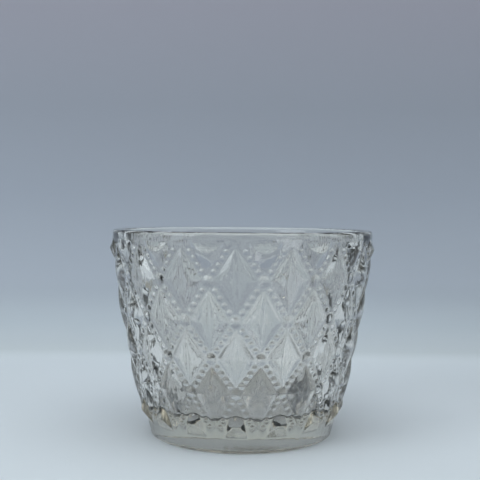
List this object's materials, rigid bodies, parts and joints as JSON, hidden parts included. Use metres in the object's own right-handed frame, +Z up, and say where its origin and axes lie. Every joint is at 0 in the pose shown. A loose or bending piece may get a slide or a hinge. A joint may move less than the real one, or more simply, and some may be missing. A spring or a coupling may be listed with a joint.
{
  "type": "tealight holder",
  "caption": "Open flared cup of clear pressed glass for a tealight, with a lattice of pillowed lozenges edged by beads, a plain rim band and a plain foot.",
  "frame": {"origin": "centre of the standing ring, on the surface that the cup stands on", "axes": "+Z up along the cup's axis; -Y is the front and +X its right, each through the middle of a half lozenge under the rim"},
  "size_m": [0.0816, 0.0816, 0.0625],
  "materials": {
    "clear_glass": "smooth pressed clear glass with a faint grey-green tint"
  },
  "bodies": {
    "root": {"glass_cup": "clear_glass"}
  },
  "joints": []
}
